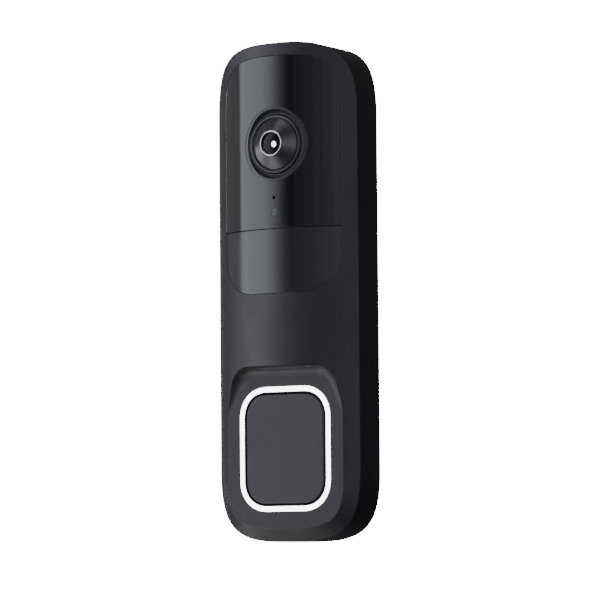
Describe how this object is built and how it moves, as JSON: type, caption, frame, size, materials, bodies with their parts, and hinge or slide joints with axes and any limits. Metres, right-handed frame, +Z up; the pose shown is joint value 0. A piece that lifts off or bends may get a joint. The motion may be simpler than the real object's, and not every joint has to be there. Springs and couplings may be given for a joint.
{
  "type": "video doorbell",
  "caption": "Slim upright video doorbell with a camera in a gloss window, a motion sensor lens, a large lit push button and a slide-on wall bracket.",
  "frame": {"origin": "centre of the bracket's flat back, which lies on the wall", "axes": "+Z up the wall, +Y into the wall (the front faces -Y), +X to the right of someone who faces the wall"},
  "size_m": [0.0458, 0.0193, 0.138],
  "materials": {
    "case_black": "fine matt texture",
    "window_gloss": "polished",
    "lens_satin": "satin",
    "button_black": "fine matt texture",
    "light_guide": "diffusing, lit white",
    "case_rear": "fine matt texture",
    "bracket_black": "matt",
    "seal_rubber": "matt",
    "bezel_black": "satin",
    "black_plastic": "matt",
    "white_plastic": "matt",
    "clear_plastic": "clear",
    "optical_glass": "coated",
    "filter_glass": "coated",
    "anodised_ring": "satin",
    "barrel_metal": "satin",
    "steel": "plated",
    "black_steel": "black zinc",
    "brass": "machined",
    "circuit_board": "solder mask",
    "chip_epoxy": "matt",
    "sensor_glass": "coated",
    "flex_amber": "film",
    "cell_wrap": "foil pouch",
    "ferrite": "sintered",
    "cap_sleeve": "shrink sleeve",
    "foam": "foam",
    "lens_bead": "coated",
    "led_resin": "phosphor resin"
  },
  "bodies": {
    "bracket": {"wall_bracket": "bracket_black"},
    "button": {"button_cap": "button_black", "switch_plunger": "black_plastic"},
    "tamper": {"tamper_plunger": "white_plastic"},
    "reset": {"reset_button": "seal_rubber"},
    "lock": {"lock_screw": "black_steel"},
    "doorbell": {"antenna": "flex_amber", "antenna_coax": "black_plastic", "backup_cell": "cell_wrap", "board_screws": "steel", "button_board": "circuit_board", "button_return_spring": "steel", "button_ribbon": "flex_amber", "camera_bezel": "bezel_black", "camera_board": "circuit_board", "camera_gasket": "foam", "camera_ribbon": "flex_amber", "camera_shroud": "bezel_black", "capacitors": "cap_sleeve", "front_housing": "case_black", "housing_screws": "black_steel", "image_sensor": "sensor_glass", "infrared_leds": "clear_plastic", "ir_cut_filter": "filter_glass", "lens_barrel": "barrel_metal", "lens_front_element": "optical_glass", "lens_holder": "black_plastic", "lens_rear_element": "lens_bead", "lens_retaining_ring": "anodised_ring", "light_ring": "light_guide", "light_sensor": "chip_epoxy", "lock_insert": "brass", "main_board": "circuit_board", "main_chips": "chip_epoxy", "microphone": "steel", "microphone_boot": "seal_rubber", "perimeter_seal": "seal_rubber", "pir_lens": "lens_satin", "pir_sensor": "steel", "pir_shade": "black_plastic", "power_coil": "ferrite", "rear_housing": "case_rear", "rear_switches": "chip_epoxy", "ring_carrier": "black_plastic", "ring_leds": "led_resin", "shield_can": "steel", "speaker_cone": "chip_epoxy", "speaker_frame": "black_plastic", "speaker_gasket": "foam", "speaker_magnet": "steel", "speaker_mesh": "steel", "status_light_pipe": "clear_plastic", "tactile_switch": "steel", "tamper_spring": "steel", "terminal_block": "black_plastic", "terminal_plates": "brass", "terminal_screws": "steel", "window_adhesive": "foam", "window_panel": "window_gloss", "wireless_module": "steel"}
  },
  "joints": [
    {"name": "doorbell_lift", "type": "slide", "parent": "bracket", "child": "doorbell", "axis": [0, 0, 1], "range_m": [0, 0.0042]},
    {"name": "button_press", "type": "slide", "parent": "doorbell", "child": "button", "axis": [0, 1, 0], "range_m": [0, 0.0006], "stiffness_N_per_m": 2500, "springref_m": -0.0003, "deforming": ["button_return_spring"]},
    {"name": "tamper_press", "type": "slide", "parent": "doorbell", "child": "tamper", "axis": [0, -1, 0], "range_m": [0, 0.0008], "stiffness_N_per_m": 300, "springref_m": -0.001, "deforming": ["tamper_spring"]},
    {"name": "reset_press", "type": "slide", "parent": "doorbell", "child": "reset", "axis": [0, -1, 0], "range_m": [0, 0.0005], "stiffness_N_per_m": 1500, "springref_m": -0.0003},
    {"name": "lock_screw_travel", "type": "slide", "parent": "doorbell", "child": "lock", "axis": [0, 0, -1], "range_m": [-0.004, 0]}
  ]
}
